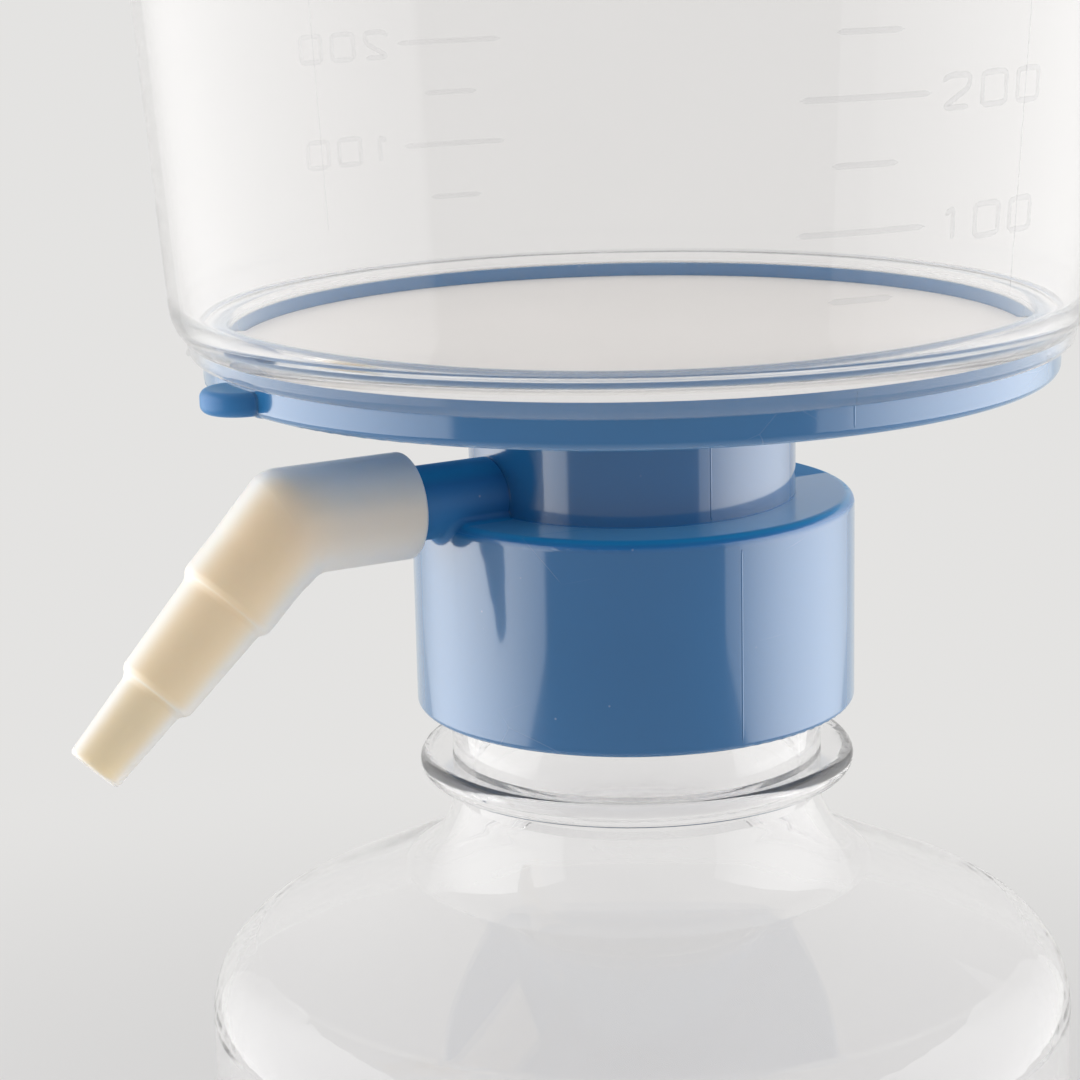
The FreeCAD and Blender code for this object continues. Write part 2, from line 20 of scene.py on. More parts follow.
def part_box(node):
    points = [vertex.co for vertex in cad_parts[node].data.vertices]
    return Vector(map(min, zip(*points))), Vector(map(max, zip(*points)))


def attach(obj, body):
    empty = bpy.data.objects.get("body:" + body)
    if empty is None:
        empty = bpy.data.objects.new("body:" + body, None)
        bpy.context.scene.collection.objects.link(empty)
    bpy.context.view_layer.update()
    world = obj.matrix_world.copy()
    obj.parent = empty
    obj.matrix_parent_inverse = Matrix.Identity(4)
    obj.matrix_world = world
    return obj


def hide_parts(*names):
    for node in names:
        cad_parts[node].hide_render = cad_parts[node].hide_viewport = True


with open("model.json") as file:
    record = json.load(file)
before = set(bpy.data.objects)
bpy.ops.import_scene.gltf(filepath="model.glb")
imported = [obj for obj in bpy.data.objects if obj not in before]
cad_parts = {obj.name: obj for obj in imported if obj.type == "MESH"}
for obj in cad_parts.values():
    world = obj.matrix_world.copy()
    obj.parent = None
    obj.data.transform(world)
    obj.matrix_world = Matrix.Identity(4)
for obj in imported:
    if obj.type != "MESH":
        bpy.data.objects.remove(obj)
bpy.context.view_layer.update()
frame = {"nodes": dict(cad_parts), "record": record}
nodes = frame["nodes"]
MM = 0.001
print("solids:", ", ".join(sorted(nodes)))

# %% [markdown]
# ## Depth of light
# A ray that enters clear plastic can run along inside it from wall to wall many times before it
# comes out. When a path tracer gives up too early, that ray stays black, and each rounding gets a
# black outline. So the paths through clear and glossy faces may be long here. Diffuse light fades
# with every bounce anyway, and two bounces of it are enough.

# %% Light paths
CLEAR_BOUNCES, DIFFUSE_BOUNCES = 32, 2
LEAST_LIGHT = 0.05

scene = bpy.context.scene
cycles = scene.cycles
cycles.max_bounces = cycles.transmission_bounces = cycles.glossy_bounces = CLEAR_BOUNCES
cycles.diffuse_bounces = DIFFUSE_BOUNCES
cycles.use_light_tree = False
cycles.light_sampling_threshold = LEAST_LIGHT
print("bounces:", CLEAR_BOUNCES, "clear,", DIFFUSE_BOUNCES, "diffuse")

# %% [markdown]
# ## Camera
# The unit is looked at from close by with a long lens, from above the funnel's foot and tipped down
# a little, so that one sees the membrane through the clear wall. A Track To constraint would aim the
# camera, but fix its roll. Here it is set up as one sets up a tripod: how far from the bottle's axis,
# how high, how far round, then turned, tipped and rolled.

# %% Camera
CAMERA_AZIMUTH = math.radians(-31.0)
CAMERA_DISTANCE = 0.32360
CAMERA_HEIGHT = 0.26319
CAMERA_TURN = -0.0327
CAMERA_PITCH = 0.2334
CAMERA_ROLL = -0.0232
LENS_MM = 97.6

away = Vector((-math.sin(CAMERA_AZIMUTH), math.cos(CAMERA_AZIMUTH), 0.0))
right = Vector((math.cos(CAMERA_AZIMUTH), math.sin(CAMERA_AZIMUTH), 0.0))
up = Vector((0.0, 0.0, 1.0))


def camera_matrix():
    """Camera axes: forward is turned about the upright, tipped down, and then rolled about itself."""
    level = math.sin(CAMERA_TURN) * right + math.cos(CAMERA_TURN) * away
    forward = math.cos(CAMERA_PITCH) * level - math.sin(CAMERA_PITCH) * up
    side = math.cos(CAMERA_TURN) * right - math.sin(CAMERA_TURN) * away
    top = side.cross(forward)
    rolled_side = math.cos(CAMERA_ROLL) * side + math.sin(CAMERA_ROLL) * top
    rolled_top = -math.sin(CAMERA_ROLL) * side + math.cos(CAMERA_ROLL) * top
    place = -CAMERA_DISTANCE * away + CAMERA_HEIGHT * up
    columns = Matrix((rolled_side, rolled_top, -forward)).transposed().to_4x4()
    return Matrix.Translation(place) @ columns


scene.view_settings.view_transform = "Standard"
camera = bpy.data.objects.new("studio_camera", bpy.data.cameras.new("studio_camera"))
scene.collection.objects.link(camera)
camera.data.lens = LENS_MM
camera.data.clip_start = 0.01
camera.matrix_world = camera_matrix()
scene.camera = camera
print("camera at", [round(v, 3) for v in camera.location], "lens", LENS_MM, "mm")

# %% [markdown]
# ## Words for node trees
# A material is a small tree of nodes. Wired by hand, each node takes three or four lines, and the
# idea is lost among them. A few helpers keep it in view: one makes a node, one puts a number or
# another node's output into a socket, and the others do arithmetic and mixing.

# %% Node helpers
MIX_A, MIX_B, MIX_RESULT = 6, 7, 2    # where a Mix node keeps its two colours and its result


def make(tree, kind, **settings):
    """A shader node of this kind with its settings."""
    made = tree.nodes.new("ShaderNode" + kind)
    for name, setting in settings.items():
        setattr(made, name, setting)
    return made


def feed(tree, socket, source):
    """Puts another node's output, a colour or a number into a socket."""
    if isinstance(source, bpy.types.NodeSocket):
        tree.links.new(source, socket)
    elif isinstance(source, (tuple, list)) and len(source) == 3 and socket.type == "RGBA":
        socket.default_value = (*source, 1.0)
    else:
        socket.default_value = source


def calc(tree, operation, *sources, clamp=False):
    """The result of one Math node: its operation on two or three values."""
    made = make(tree, "Math", operation=operation, use_clamp=clamp)
    for socket, source in zip(made.inputs, sources):
        feed(tree, socket, source)
    return made.outputs["Value"]


def vector_calc(tree, operation, *sources):
    """The outputs of one Vector Math node: its operation on one or two vectors."""
    made = make(tree, "VectorMath", operation=operation)
    for socket, source in zip(made.inputs, sources):
        feed(tree, socket, source)
    return made.outputs


def parts_of(tree, vector):
    """The X, Y and Z of a vector."""
    made = make(tree, "SeparateXYZ")
    feed(tree, made.inputs[0], vector)
    return made.outputs


def ramp(tree, source, low, high, start=0.0, end=1.0):
    """A smooth step: start where the source is under low, end where it is over high."""
    made = make(tree, "MapRange", interpolation_type="SMOOTHSTEP")
    for name, value in (("Value", source), ("From Min", low), ("From Max", high),
                        ("To Min", start), ("To Max", end)):
        feed(tree, made.inputs[name], value)
    return made.outputs["Result"]


def blend(tree, share, first, second):
    """A colour between two: share 0 gives the first, 1 the second."""
    made = make(tree, "Mix", data_type="RGBA")
    sockets = made.inputs["Factor"], made.inputs[MIX_A], made.inputs[MIX_B]
    for socket, source in zip(sockets, (share, first, second)):
        feed(tree, socket, source)
    return made.outputs[MIX_RESULT]


def mix_shaders(tree, share, first, second):
    """A shader between two: share 0 gives the first, 1 the second."""
    made = make(tree, "MixShader")
    for socket, source in zip(made.inputs, (share, first, second)):
        feed(tree, socket, source)
    return made.outputs[0]


def noise(tree, place, scale, detail):
    """Soft clouds between 0 and 1, scale of them per metre, with finer clouds on them by the detail."""
    made = make(tree, "TexNoise")
    for name, value in (("Vector", place), ("Scale", scale), ("Detail", detail)):
        feed(tree, made.inputs[name], value)
    return made.outputs["Fac"]


# %% [markdown]
# ## Room
# The unit stands on a pale sheet that fades into a pale wall. In a studio the paper is lit by lamps
# of its own, so that it shows even and bright without any of that light reaching the object. Here
# the same is done by asking what kind of ray arrives: a ray that shows the paper, straight, in a
# gloss or through clear plastic, finds its plain colour, and a ray that carries light finds a dim
# grey room. The paper hangs behind the unit and at its sides; the side of the room that the
# funnel's scale faces is open and dim, and only a gloss shows it. Near the object the sheet is
# ordinary paper and keeps the object's shadow. Its underside is clear, as in a cut-away drawing,
# so that the unit can be looked at from below.

# %% World and floor
PAPER, SHEET = (0.775, 0.768, 0.757), (0.80, 0.792, 0.78)
ROOM = OPEN_SIDE = (0.40, 0.40, 0.41)
SHEET_RADIUS, SHEET_CORNERS = 25.0, 96
SHADOW_END, PAPER_START = 0.16, 0.50
OPEN_AZIMUTH = math.radians(-31.0)
OPEN_START, OPEN_END = 0.10, 0.75


def seen(tree):
    """1 for a ray that shows what it hits: from the camera, off a gloss or through clear plastic."""
    path = make(tree, "LightPath").outputs
    direct = calc(tree, "MAXIMUM", path["Is Camera Ray"], path["Is Glossy Ray"])
    return calc(tree, "MAXIMUM", direct, path["Is Transmission Ray"])


def paper_colour(tree, direction):
    """The paper, but the dim open side for gloss that looks in a direction near its azimuth."""
    heading = vector_calc(tree, "NORMALIZE", direction)["Vector"]
    middle = (math.sin(OPEN_AZIMUTH), -math.cos(OPEN_AZIMUTH), 0.0)
    along = vector_calc(tree, "DOT_PRODUCT", heading, middle)["Value"]
    opening = ramp(tree, along, OPEN_START, OPEN_END)
    path = make(tree, "LightPath").outputs
    mirrored = calc(tree, "SUBTRACT", path["Is Glossy Ray"], path["Is Transmission Ray"])
    share = calc(tree, "MULTIPLY", opening, calc(tree, "MAXIMUM", mirrored, 0.0))
    return blend(tree, share, PAPER, OPEN_SIDE)


world = bpy.data.worlds.new("studio")
scene.world = world
world.use_nodes = True
world.cycles.sampling_method = "NONE"
tree = world.node_tree
sky = make(tree, "TexCoord").outputs["Generated"]
feed(tree, tree.nodes["Background"].inputs["Color"],
     blend(tree, seen(tree), ROOM, paper_colour(tree, sky)))

bpy.ops.mesh.primitive_circle_add(vertices=SHEET_CORNERS, radius=SHEET_RADIUS, fill_type="NGON")
floor = bpy.context.object
floor.name = "floor"
sheet = bpy.data.materials.new("paper_sheet")
sheet.use_nodes = True
tree = sheet.node_tree
paper = tree.nodes["Principled BSDF"]
for name, value in (("Base Color", SHEET), ("Roughness", 1.0), ("Specular IOR Level", 0.0)):
    feed(tree, paper.inputs[name], value)
surface = make(tree, "NewGeometry").outputs
glow = make(tree, "Emission")
feed(tree, glow.inputs["Color"], paper_colour(tree, surface["Position"]))
distance = vector_calc(tree, "LENGTH", surface["Position"])["Value"]
far = calc(tree, "MULTIPLY", ramp(tree, distance, SHADOW_END, PAPER_START), seen(tree))
upper = mix_shaders(tree, far, paper.outputs[0], glow.outputs[0])
under = make(tree, "BsdfTransparent").outputs[0]
feed(tree, tree.nodes["Material Output"].inputs["Surface"],
     mix_shaders(tree, surface["Backfacing"], upper, under))
floor.data.materials.append(sheet)
print("sheet of paper,", 2 * SHEET_RADIUS, "m across")

# %% [markdown]
# ## Lamps
# Two tall softboxes stand left and right, a little behind the object, and nothing lights it from the
# front: that leaves the dark band down the middle of each round part and the bright bands beside
# it. A softbox is brightest in its middle, and its gloss on a round part shows that as a gradient.
# An area lamp is even all over, so its strength is multiplied by a hump across its width, taken
# from the lamp's own parametric coordinates. Neither the camera nor a ray through clear plastic
# sees a softbox: it shows only by its light and in a gloss.

# %% Softboxes
LAMP_DISTANCE = 0.42
LAMP_LOW, LAMP_HIGH = 0.01, 0.52
LAMP_WIDTH, LAMP_RADIANCE = 0.96, 2.25
SOFT_EDGE = 0.012


def softbox(name, azimuth, near_share, far_share, peak, lip, lip_share):
    """A rectangular lamp facing the axis; its radiance falls from the peak across its width to a
    share of it at the end near the camera and at the far end. On the lip, a first strip at the near
    end, a further share of that is left."""
    data = bpy.data.lights.new(name, "AREA")
    data.shape = "RECTANGLE"
    data.size, data.size_y = LAMP_WIDTH, LAMP_HIGH - LAMP_LOW
    data.energy = LAMP_RADIANCE * math.pi * data.size * data.size_y
    data.use_nodes = True
    tree = data.node_tree
    across = parts_of(tree, make(tree, "NewGeometry").outputs["Parametric"])["X"]
    toward = across if azimuth > 0 else calc(tree, "SUBTRACT", 1.0, across)
    rise = ramp(tree, toward, 0.0, peak, near_share, 1.0)
    fall = ramp(tree, toward, peak, 1.0, 1.0, far_share)
    flap = ramp(tree, toward, lip - SOFT_EDGE, lip + SOFT_EDGE, lip_share, 1.0)
    hump = calc(tree, "MULTIPLY", calc(tree, "MULTIPLY", rise, fall), flap)
    feed(tree, tree.nodes["Emission"].inputs["Strength"], hump)
    lamp = bpy.data.objects.new(name, data)
    scene.collection.objects.link(lamp)
    turn = math.radians(azimuth)
    spot = LAMP_DISTANCE * (math.sin(turn) * right - math.cos(turn) * away)
    lamp.location = spot + (LAMP_LOW + LAMP_HIGH) / 2 * up
    lamp.rotation_mode = "QUATERNION"
    lamp.rotation_quaternion = Vector((-spot.x, -spot.y, 0)).to_track_quat("-Z", "Y")
    lamp.visible_camera = lamp.visible_transmission = False
    print(name, "at", azimuth, "degrees,", round(data.energy, 1), "W")


softbox("softbox_left", -93.3, near_share=0.55, far_share=0.10, peak=0.50, lip=0.02, lip_share=0.5)
softbox("softbox_right", 95.2, near_share=0.48, far_share=0.13, peak=0.45, lip=0.125, lip_share=0.75)

# %% [markdown]
# ## Marks that every moulding has
# Under a lamp even a smooth moulding isn't perfect: its skin has slow waves where it shrank and a
# fine grain from the steel, and handling leaves specks of dust and hair-thin scratches. Waves and
# grain are noise of two sizes. They go on every material here, in other amounts, so they are a node
# group: built once, with its amounts as inputs. The marks of handling are a second group, for the
# dark base, where they show: specks are the middles of scattered cells, and scratches are the thin
# walls between large, stretched cells, kept only in patches.

# %% Node groups
WAVE_SCALE, GRAIN_SCALE = 70.0, 1400.0
SPECK_SCALE, SPECK_SIZE, SPECK_SHARE = 460.0, 0.09, 0.06
SCRATCH_SCALE, SCRATCH_WIDTH = 90.0, 0.004
SCRATCH_TURN, SCRATCH_STRETCH = (0.5, 0.9, 0.3), (1.0, 0.25, 1.0)
PATCH_START, PATCH_END = 0.58, 0.70


def new_group(name, inputs, outputs):
    """An empty node group with its sockets, each a name and a kind."""
    tree = bpy.data.node_groups.new(name, "ShaderNodeTree")
    for label, kind in inputs:
        tree.interface.new_socket(label, in_out="INPUT", socket_type="NodeSocket" + kind)
    for label, kind in outputs:
        tree.interface.new_socket(label, in_out="OUTPUT", socket_type="NodeSocket" + kind)
    return tree, tree.nodes.new("NodeGroupInput"), tree.nodes.new("NodeGroupOutput")


def moulded_skin():
    """Height is waves times their depth plus grain times its depth; drift is the waves' own cloud."""
    tree, given, result = new_group(
        "moulded_skin", [("Place", "Vector"), ("Wave depth", "Float"), ("Grain depth", "Float")],
        [("Height", "Float"), ("Drift", "Float")])
    amounts = given.outputs
    waves = noise(tree, amounts["Place"], WAVE_SCALE, 0.0)
    grain = noise(tree, amounts["Place"], GRAIN_SCALE, 1.0)
    height = calc(tree, "ADD", calc(tree, "MULTIPLY", waves, amounts["Wave depth"]),
                  calc(tree, "MULTIPLY", grain, amounts["Grain depth"]))
    feed(tree, result.inputs["Height"], height)
    feed(tree, result.inputs["Drift"], waves)
    return tree


def handling_marks():
    """Specks where a point lies near a cell's middle, in a few cells only; scratches on the walls
    between stretched cells, where a slow cloud allows them."""
    tree, given, result = new_group(
        "handling_marks", [("Place", "Vector")], [("Specks", "Float"), ("Scratches", "Float")])
    place = given.outputs["Place"]
    cells = make(tree, "TexVoronoi")
    feed(tree, cells.inputs["Vector"], place)
    feed(tree, cells.inputs["Scale"], SPECK_SCALE)
    chance = make(tree, "SeparateColor")
    feed(tree, chance.inputs[0], cells.outputs["Color"])
    few = calc(tree, "LESS_THAN", chance.outputs[0], SPECK_SHARE)
    specks = calc(tree, "MULTIPLY", ramp(tree, cells.outputs["Distance"], SPECK_SIZE, 0.0), few)
    feed(tree, result.inputs["Specks"], specks)
    stretch = make(tree, "Mapping")
    for name, value in (("Vector", place), ("Rotation", SCRATCH_TURN), ("Scale", SCRATCH_STRETCH)):
        feed(tree, stretch.inputs[name], value)
    walls = make(tree, "TexVoronoi", feature="DISTANCE_TO_EDGE")
    feed(tree, walls.inputs["Vector"], stretch.outputs[0])
    feed(tree, walls.inputs["Scale"], SCRATCH_SCALE)
    thin = ramp(tree, walls.outputs["Distance"], SCRATCH_WIDTH, 0.0)
    patches = ramp(tree, noise(tree, place, WAVE_SCALE, 1.0), PATCH_START, PATCH_END)
    feed(tree, result.inputs["Scratches"], calc(tree, "MULTIPLY", thin, patches))
    return tree


SKIN, MARKS = moulded_skin(), handling_marks()
print("node groups:", SKIN.name, "and", MARKS.name)

# %% [markdown]
# Each material starts the same way: a Principled BSDF with plain numbers on its sockets, the skin
# group reading the object's own coordinates, and a Bump node. What differs between plastics is
# wired on top of that.

# %% Start of a material
BUMP_DISTANCE = 1.0


def use_group(tree, group, **amounts):
    """The group as a node of this tree, with its inputs filled."""
    placed = tree.nodes.new("ShaderNodeGroup")
    placed.node_tree = group
    for name, amount in amounts.items():
        feed(tree, placed.inputs[name.replace("_", " ")], amount)
    return placed


def start_material(name, wave_depth, grain_depth, **numbers):
    """A material with a moulded skin; returns it, its tree, shader, place and the skin's drift."""
    print("material:", name)
    material = bpy.data.materials.new(name)
    material.use_nodes = True
    tree = material.node_tree
    shader = tree.nodes["Principled BSDF"]
    for socket, number in numbers.items():
        feed(tree, shader.inputs[socket.replace("_", " ")], number)
    place = make(tree, "TexCoord").outputs["Object"]
    skin = use_group(tree, SKIN, Place=place, Wave_depth=wave_depth, Grain_depth=grain_depth)
    bump = make(tree, "Bump")
    feed(tree, bump.inputs["Distance"], BUMP_DISTANCE)
    feed(tree, bump.inputs["Height"], skin.outputs["Height"])
    feed(tree, shader.inputs["Normal"], bump.outputs["Normal"])
    return material, tree, shader, place, skin.outputs["Drift"]


# %% [markdown]
# ## Blue base
# The collar, hub, dish and port are one moulding in a blue polypropylene: deep blue inside, with a
# clear gloss over it that mirrors the softboxes. A second, clear coat layer gives that double
# gloss. Its colour drifts a little where the melt flowed, and dust shows as pale specks. The port and
# the tab are matt, because their moulds are pulled off sideways and are only ground, and the
# collar's crown is half as glossy as the walls. Masks made of distances say where that is. Port,
# tab and crown are also a lighter blue than the walls. That is partly painted light, because the
# port and the crown lie in the dish's shade. What faces up on the port and the crown is painted a
# clearer blue still: painted light from above, under the dish.

# %% Matt zones
BLUE_DEEP, BLUE_LIGHT = (0.014, 0.134, 0.335), (0.019, 0.150, 0.365)
# The matt blue is lighter than the walls' blue: partly painted light for the port and crown in the dish's
# shade.
MATT_AND_PAINTED_LIGHT_DEEP, MATT_AND_PAINTED_LIGHT_PALE = (0.013, 0.165, 0.430), (0.017, 0.180, 0.460)
# Painted light: faces that look up on the port and crown under the dish get this clearer blue.
PAINTED_LIGHT_UNDER_DISH = (0.014, 0.330, 0.660)
DUST = (0.55, 0.60, 0.66)
BLUE_ROUGHNESS, SATIN_ROUGHNESS, MATT_ROUGHNESS = 0.16, 0.28, 0.55
SATIN_COAT, TAB_MATT = 0.45, 0.85
SCRATCH_DUST, SCRATCH_ROUGHNESS, DUST_COVER = 0.25, 0.3, 0.45
UPWARD_START, UPWARD_END = 0.55, 0.98
joints = {joint["name"]: joint for joint in frame["record"]["behaviour"]["joints"]}
PORT_AXIS = joints["adapter_swivel"]["pos_m"]
PORT_RADIUS, HUB_RADIUS, RIM_RADIUS = 4.1 * MM, 18.4 * MM, 47.5 * MM
PORT_RISE, CROWN_ROUND = 2.15 * MM, 1.2 * MM
CROWN_HEIGHT = PORT_AXIS[2] - PORT_RISE
FADE, CLEAR_OF = 0.5 * MM, 0.05 * MM
HUB_FADE_END, CROWN_FADE_END = 0.3 * MM, 0.2 * MM


def distance_from(tree, place, origin, axes):
    """Distance of a place from a point, counted along the axes with a 1: from a line for two."""
    offset = vector_calc(tree, "SUBTRACT", place, origin)["Vector"]
    flat = vector_calc(tree, "MULTIPLY", offset, axes)["Vector"]
    return vector_calc(tree, "LENGTH", flat)["Value"]


def zones(tree, place):
    """Three masks: the port, near its axis and outside the hub; the tab, beyond the rim; and the
    crown, from its rounding up to its top."""
    from_axis = distance_from(tree, place, (0, 0, 0), (1, 1, 0))
    from_port = distance_from(tree, place, PORT_AXIS, (0, 1, 1))
    height = distance_from(tree, place, (0, 0, 0), (0, 0, 1))
    near_port = ramp(tree, from_port, PORT_RADIUS + FADE, PORT_RADIUS + 2 * FADE, 1.0, 0.0)
    off_hub = ramp(tree, from_axis, HUB_RADIUS + CLEAR_OF, HUB_RADIUS + HUB_FADE_END)
    rounding = ramp(tree, height, CROWN_HEIGHT - CROWN_ROUND, CROWN_HEIGHT - CROWN_ROUND / 2)
    top = ramp(tree, height, CROWN_HEIGHT + CLEAR_OF, CROWN_HEIGHT + CROWN_FADE_END, 1.0, 0.0)
    tab = ramp(tree, from_axis, RIM_RADIUS, RIM_RADIUS + FADE)
    return calc(tree, "MULTIPLY", near_port, off_hub), tab, calc(tree, "MULTIPLY", rounding, top)


# %% Blue plastic
blue, tree, shader, place, drift = start_material(
    "blue_moulded", wave_depth=2.0e-5, grain_depth=1.2e-7,
    Coat_Weight=1.0, Coat_Roughness=0.06, Coat_IOR=1.66,
    Sheen_Weight=0.35, Sheen_Roughness=0.4, Sheen_Tint=(0.3, 0.7, 1.0))
port, tab, satin = zones(tree, place)
matt = calc(tree, "MAXIMUM", port, calc(tree, "MULTIPLY", tab, TAB_MATT))
# Port, tab and crown take the lighter matt blue, which is partly painted light.
colour = blend(tree, calc(tree, "MAXIMUM", matt, satin), blend(tree, drift, BLUE_DEEP, BLUE_LIGHT),
               blend(tree, drift, MATT_AND_PAINTED_LIGHT_DEEP, MATT_AND_PAINTED_LIGHT_PALE))
# Painted light from above: the upward faces of the port and crown are painted a clearer blue.
facing = parts_of(tree, make(tree, "NewGeometry").outputs["Normal"])
upward = ramp(tree, facing["Z"], UPWARD_START, UPWARD_END)
painted_light_under_dish = calc(tree, "MULTIPLY", calc(tree, "MAXIMUM", port, satin), upward)
colour = blend(tree, painted_light_under_dish, colour, PAINTED_LIGHT_UNDER_DISH)
handled = use_group(tree, MARKS, Place=place).outputs
dusty = calc(tree, "MAXIMUM", handled["Specks"],
             calc(tree, "MULTIPLY", handled["Scratches"], SCRATCH_DUST))
feed(tree, shader.inputs["Base Color"],
     blend(tree, calc(tree, "MULTIPLY", dusty, DUST_COVER), colour, DUST))
dull = calc(tree, "MULTIPLY_ADD", satin, SATIN_ROUGHNESS - BLUE_ROUGHNESS, BLUE_ROUGHNESS)
dull = calc(tree, "MAXIMUM", dull, calc(tree, "MULTIPLY", matt, MATT_ROUGHNESS))
feed(tree, shader.inputs["Roughness"],
     calc(tree, "MULTIPLY_ADD", handled["Scratches"], SCRATCH_ROUGHNESS, dull))
coat = calc(tree, "MULTIPLY_ADD", satin, SATIN_COAT - 1.0, 1.0)
feed(tree, shader.inputs["Coat Weight"], calc(tree, "MULTIPLY", coat, calc(tree, "SUBTRACT", 1.0, matt)))

# %% [markdown]
# ## Clear plastic
# Bottle, funnel and lid are polystyrene as clear as glass. Light bends in it, so the shader's
# transmission does the work. Polystyrene's own index is 1.59; a lower one is used, because the thick
# places, the ring at the neck and the funnel's foot, stay as light with it as moulded plastic does,
# which scatters inside. Real plastic is never quite without haze, and a small share of plain white
# stands for it; ring and foot are hazier than the walls, which blurs what is seen through them.
# Shadows would be black under glass in a path tracer, because lamps can't be found through a
# bending surface: so a ray that only asks whether a lamp is in view passes through almost freely,
# by way of the Light Path node.

# %% Clear plastic
BOTTLE_TINT, BOTTLE_WAVE_TINT = (0.993, 0.990, 0.994), (1.0, 0.999, 1.0)
FUNNEL_TINT, FUNNEL_WAVE_TINT = (0.978, 0.973, 0.972), (0.986, 0.982, 0.981)
CLEAR_IOR = 1.42
CLEAR_ROUGHNESS, CLEAR_BLOOM, THICK_BLUR = 0.012, 0.02, 0.07
SHADOW_PASS = (0.99, 0.99, 0.99)
HAZE = 0.012
RING = [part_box("bottle")[1][2] + from_lip * MM for from_lip in (-30.0, -29.0, -24.5, -23.0)]
FOOT = [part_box("filter_base")[1][2] + from_rim * MM for from_rim in (-4.0, -3.0, 1.5, 6.0)]


def clear_plastic(name, tint, wave_tint, wave_depth, thick):
    """Glass with haze, waves in its skin and lamps that reach through it; the blur is full between
    the two middle heights of the thick place and gone beyond the outer two."""
    material, tree, shader, place, drift = start_material(
        name, wave_depth=wave_depth, grain_depth=0.0, IOR=CLEAR_IOR, Transmission_Weight=1.0 - HAZE)
    feed(tree, shader.inputs["Base Color"], blend(tree, drift, tint, wave_tint))
    height = distance_from(tree, place, (0, 0, 0), (0, 0, 1))
    blur = calc(tree, "MULTIPLY", ramp(tree, height, *thick[:2], 0.0, THICK_BLUR),
                ramp(tree, height, *thick[2:], 1.0, 0.0))
    bloom = calc(tree, "MULTIPLY_ADD", drift, CLEAR_BLOOM, CLEAR_ROUGHNESS)
    feed(tree, shader.inputs["Roughness"], calc(tree, "ADD", bloom, blur))
    passing = make(tree, "BsdfTransparent")
    feed(tree, passing.inputs["Color"], SHADOW_PASS)
    shadow = make(tree, "LightPath").outputs["Is Shadow Ray"]
    feed(tree, tree.nodes["Material Output"].inputs["Surface"],
         mix_shaders(tree, shadow, shader.outputs[0], passing.outputs[0]))
    return material


bottle_clear = clear_plastic("clear_bottle_plastic", BOTTLE_TINT, BOTTLE_WAVE_TINT, 8.0e-5, RING)
funnel_clear = clear_plastic("clear_funnel_plastic", FUNNEL_TINT, FUNNEL_WAVE_TINT, 8.0e-6, FOOT)

# %% [markdown]
# ## Membrane, seal and elbow
# The membrane is a matt white sheet with fine pores: a fine, deep grain and no gloss. The seal is
# soft and matt. The elbow is pushed over the blue port, and its cream rubber lets light in a little
# way: subsurface scattering gives the soft glow. Where one looks along the skin it is painted
# whiter, by the Layer Weight node: a painted rim light. Where the port fills it, the rubber is
# painted cooler and darker than beyond the port's mouth. That is partly because the blue swallows the
# light that enters, and partly painted shade under the blue rim. Low on the leg it is painted paler,
# for light from below, and on top bluer, for blue light from the rim. A mask along the port's axis
# and one across it carry that.

# %% Membrane and seal
PORE_WHITE, PORE_SHADE = (0.94, 0.915, 0.895), (0.91, 0.89, 0.87)
SEAL_WHITE, SEAL_SHADE = (0.80, 0.80, 0.79), (0.74, 0.74, 0.73)


def matt_sheet(name, bright, shade, roughness, wave_depth, grain_depth):
    """A matt surface between two near colours."""
    material, tree, shader, _, drift = start_material(
        name, wave_depth=wave_depth, grain_depth=grain_depth,
        Roughness=roughness, Specular_IOR_Level=0.2)
    feed(tree, shader.inputs["Base Color"], blend(tree, drift, bright, shade))
    return material


membrane_white = matt_sheet("membrane_paper", PORE_WHITE, PORE_SHADE, 0.9, 3.0e-5, 6.0e-7)
seal_white = matt_sheet("seal_foam", SEAL_WHITE, SEAL_SHADE, 0.7, 1.0e-5, 1.0e-6)

# %% Cream rubber
CREAM, CREAM_WARM = (0.98, 0.765, 0.53), (0.96, 0.73, 0.48)
# Painted rim light: the skin is painted whiter where one looks along it.
PAINTED_RIM_LIGHT = (0.99, 0.925, 0.84)
RIM_LIGHT_START, RIM_LIGHT_END = 0.10, 0.60
# Painted over the port: paler low on the leg for light from below, darker about the axis for shade and the
# blue port, bluer on top for light from the blue rim.
OVER_PORT_PAINTED_LIGHT_LOW, OVER_PORT_PAINTED_SHADE_MIDDLE, OVER_PORT_PAINTED_BLUE_LIGHT_TOP = (0.92, 0.89, 0.85), (0.70, 0.67, 0.63), (0.78, 0.90, 0.99)
OVER_PORT_AND_PAINTED_LIGHT_SHARE = 0.75
MOUTH_START, MOUTH_END = -0.0480, -0.0370
LEG_LOW, LEG_MIDDLE, LEG_TOP = (PORT_AXIS[2] + height * MM for height in (-5.0, 0.3, 5.5))

cream, tree, shader, place, drift = start_material(
    "cream_rubber", wave_depth=4.0e-5, grain_depth=2.5e-7,
    Roughness=0.42, Specular_IOR_Level=0.7, Sheen_Weight=0.40, Sheen_Roughness=0.5,
    Sheen_Tint=(1.0, 0.95, 0.88),
    Subsurface_Weight=0.45, Subsurface_Radius=(1.0, 0.85, 0.70), Subsurface_Scale=0.003)
spot = parts_of(tree, place)
over_port = ramp(tree, spot["X"], MOUTH_START, MOUTH_END)
# Painted light and shade by height over the port, partly the blue port seen through the rubber.
lower = blend(tree, ramp(tree, spot["Z"], LEG_LOW, LEG_MIDDLE), OVER_PORT_PAINTED_LIGHT_LOW, OVER_PORT_PAINTED_SHADE_MIDDLE)
port_and_painted_light = blend(tree, ramp(tree, spot["Z"], LEG_MIDDLE, LEG_TOP), lower, OVER_PORT_PAINTED_BLUE_LIGHT_TOP)
